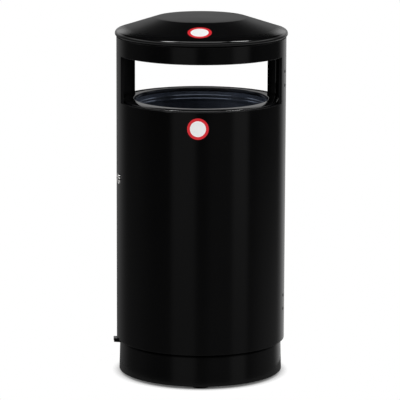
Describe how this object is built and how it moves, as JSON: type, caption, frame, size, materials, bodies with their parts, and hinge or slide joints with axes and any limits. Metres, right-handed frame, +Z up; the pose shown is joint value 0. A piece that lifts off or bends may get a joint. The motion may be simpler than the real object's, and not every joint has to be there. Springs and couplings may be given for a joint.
{
  "type": "outdoor waste bin",
  "caption": "Round free-standing steel waste bin with a rain roof, front and rear waste windows, a hinged lockable front shell and a lift-out inner bin with drop handles.",
  "frame": {"origin": "on the ground, under the middle of the round body", "axes": "+Z up, the front window and the round face of the door look along -Y, the hinges are on the +X side and the lock on the -X side"},
  "size_m": [0.4833, 0.478, 1.006],
  "materials": {
    "black_coat": "semi-gloss black powder coat",
    "bin_coat": "semi-gloss blue-black coating",
    "zinc_steel": "bright zinc plated steel",
    "lock_chrome": "polished chrome plate",
    "black_rubber": "matt black rubber"
  },
  "bodies": {
    "housing": {"base_plate": "black_coat", "plinth_ring": "black_coat", "foot_pad_front": "black_rubber", "foot_pad_right": "black_rubber", "foot_pad_rear": "black_rubber", "foot_pad_left": "black_rubber", "foot_screws": "zinc_steel", "door_rest": "black_coat", "rear_shell": "black_coat", "head_ring": "black_coat", "roof": "black_coat", "roof_brackets": "black_coat", "roof_bolts": "zinc_steel", "roof_nuts": "zinc_steel", "upper_hinge_jamb_leaf": "black_coat", "lower_hinge_jamb_leaf": "black_coat", "upper_hinge_pin": "zinc_steel", "lower_hinge_pin": "zinc_steel", "jamb_rivets": "black_coat", "lock_keeper": "zinc_steel", "keeper_rivets": "black_coat", "door_bumpers": "black_rubber"},
    "door": {"door": "black_coat", "upper_hinge_door_leaf": "black_coat", "lower_hinge_door_leaf": "black_coat", "door_hinge_rivets": "black_coat", "lock_housing": "lock_chrome", "lock_nut": "zinc_steel"},
    "lock": {"lock_spindle": "lock_chrome", "lock_cam": "zinc_steel", "cam_screw": "zinc_steel"},
    "inner_bin": {"inner_bin": "bin_coat", "inner_bin_floor": "bin_coat", "rim_collar": "black_coat", "front_handle_ears": "bin_coat", "rear_handle_ears": "bin_coat"},
    "front_handle": {"front_handle": "zinc_steel"},
    "rear_handle": {"rear_handle": "zinc_steel"}
  },
  "joints": [
    {"name": "door_swing", "type": "hinge", "parent": "housing", "child": "door", "pos_m": [0.22665, 0.0825, 0.52], "axis": [0, 0, 1], "range_deg": [0, 120]},
    {"name": "lock_turn", "type": "hinge", "parent": "door", "child": "lock", "pos_m": [-0.23086, -0.06186, 0.558], "axis": [-0.9659, -0.2588, 0], "range_deg": [0, 90]},
    {"name": "inner_bin_lift", "type": "slide", "parent": "housing", "child": "inner_bin", "axis": [0, 0, 1], "range_m": [0, 0.11]},
    {"name": "front_handle_swing", "type": "hinge", "parent": "inner_bin", "child": "front_handle", "pos_m": [0, -0.19303, 0.7], "axis": [-1, 0, 0], "range_deg": [0, 90]},
    {"name": "rear_handle_swing", "type": "hinge", "parent": "inner_bin", "child": "rear_handle", "pos_m": [0, 0.19303, 0.7], "axis": [1, 0, 0], "range_deg": [0, 90]}
  ]
}
